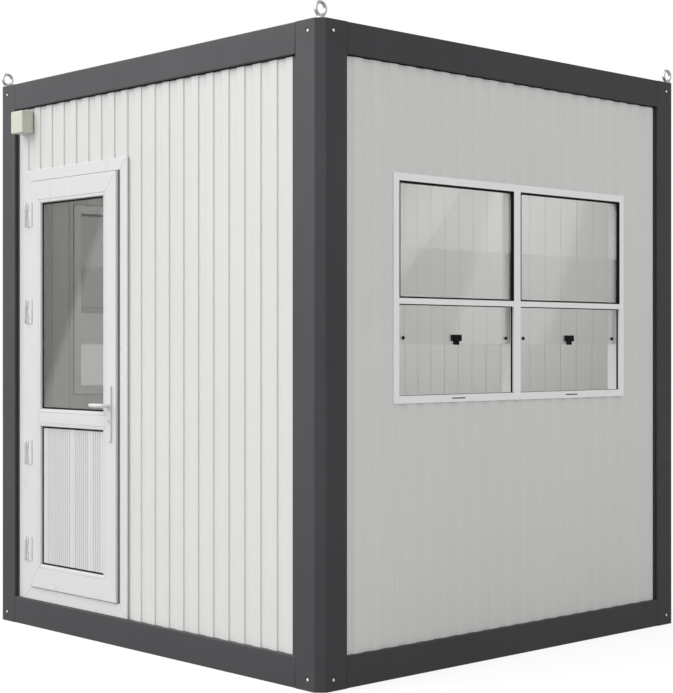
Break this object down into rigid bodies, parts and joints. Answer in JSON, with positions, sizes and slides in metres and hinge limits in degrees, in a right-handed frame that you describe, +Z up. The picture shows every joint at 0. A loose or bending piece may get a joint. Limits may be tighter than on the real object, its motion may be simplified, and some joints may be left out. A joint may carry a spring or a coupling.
{
  "type": "insulated panel cabin",
  "caption": "Square guard cabin of white ribbed sandwich panels in a dark folded steel frame, with a half-glazed door, serving windows with raised panes and lifting eyes.",
  "frame": {"origin": "centre of the plan, on the underside of the middle floor joist, level with the undersides of the base rails", "axes": "+Z up, -Y out of the front wall with its serving window, -X out of the door wall"},
  "size_m": [2.461, 2.4, 2.7519],
  "materials": {
    "anthracite_steel": "satin anthracite powder coat",
    "panel_white": "satin white coil coating on ribbed steel skins",
    "roof_white": "satin white coil coating",
    "door_white": "smooth white window-grade plastic",
    "door_infill_white": "white grooved infill panel",
    "window_white": "white powder-coated aluminium",
    "window_glass": "clear float glass",
    "door_glass": "clear float glass",
    "galvanised_steel": "bright zinc plating",
    "joist_steel": "primer",
    "black_plastic": "moulded black plastic",
    "box_cream": "moulded cream plastic",
    "floor_board": "sheathing plywood",
    "floor_vinyl": "grey sheet vinyl"
  },
  "bodies": {
    "cabin": {"back_wall_above_window": "panel_white", "back_wall_below_window": "panel_white", "back_wall_left": "panel_white", "back_wall_right": "panel_white", "back_window_frame": "window_white", "base_rail_back": "anthracite_steel", "base_rail_front": "anthracite_steel", "base_rail_left": "anthracite_steel", "base_rail_right": "anthracite_steel", "door_frame": "door_white", "door_wall_beside_hinges": "panel_white", "door_wall_beside_lock": "panel_white", "door_wall_over_door": "panel_white", "floor_covering": "floor_vinyl", "floor_deck": "floor_board", "floor_joists": "joist_steel", "front_wall_above_window": "panel_white", "front_wall_below_window": "panel_white", "front_wall_left": "panel_white", "front_wall_right": "panel_white", "front_window_frame": "window_white", "hinge_frame_leaves": "door_white", "junction_box": "box_cream", "lifting_eyes": "galvanised_steel", "post_back_left": "anthracite_steel", "post_back_right": "anthracite_steel", "post_end_plates": "anthracite_steel", "post_front_left": "anthracite_steel", "post_front_right": "anthracite_steel", "right_wall": "panel_white", "roof_panel": "roof_white", "top_rail_back": "anthracite_steel", "top_rail_front": "anthracite_steel", "top_rail_left": "anthracite_steel", "top_rail_right": "anthracite_steel", "window_fixed_panes": "window_glass", "window_latches": "black_plastic", "window_sliding_panes": "window_glass"},
    "door": {"door_sash": "door_white", "door_glass": "door_glass", "door_infill": "door_infill_white", "hinge_sash_leaves": "door_white", "handle_plates": "door_white"},
    "handle": {"lever_outside": "door_white", "lever_inside": "door_white"}
  },
  "joints": [
    {"name": "door_hinge", "type": "hinge", "parent": "cabin", "child": "door", "pos_m": [-1.212, 0.932, 1.2], "axis": [0, 0, -1], "range_deg": [0, 110]},
    {"name": "handle_turn", "type": "hinge", "parent": "door", "child": "handle", "pos_m": [-1.204, 0.226, 1.101], "axis": [-1, 0, 0], "range_deg": [0, 40], "stiffness_Nm_per_rad": 1.5, "springref_deg": -20.05}
  ]
}
